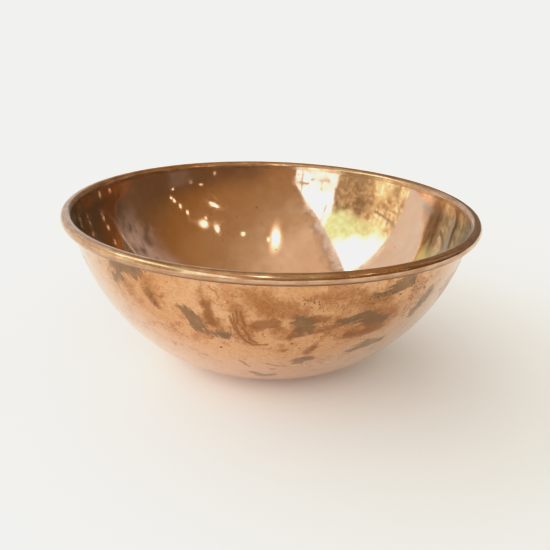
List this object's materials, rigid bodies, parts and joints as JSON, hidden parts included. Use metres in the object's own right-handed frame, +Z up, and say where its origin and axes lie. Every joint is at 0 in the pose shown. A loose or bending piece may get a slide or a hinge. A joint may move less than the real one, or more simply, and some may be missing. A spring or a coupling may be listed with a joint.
{
  "type": "copper mixing bowl",
  "caption": "Deep round copper bowl with a spherical wall, small flat base and an edge rolled outward over a steel wire.",
  "frame": {"origin": "centre of the flat base, on the surface that the bowl stands on", "axes": "+Z up along the bowl's axis of revolution, out of its open mouth; X and Y are any two directions across it"},
  "size_m": [0.3, 0.3, 0.116],
  "materials": {
    "copper_sheet": "polished",
    "steel_wire": "satin"
  },
  "bodies": {
    "root": {"bowl_shell": "copper_sheet", "rim_wire": "steel_wire"}
  },
  "joints": []
}
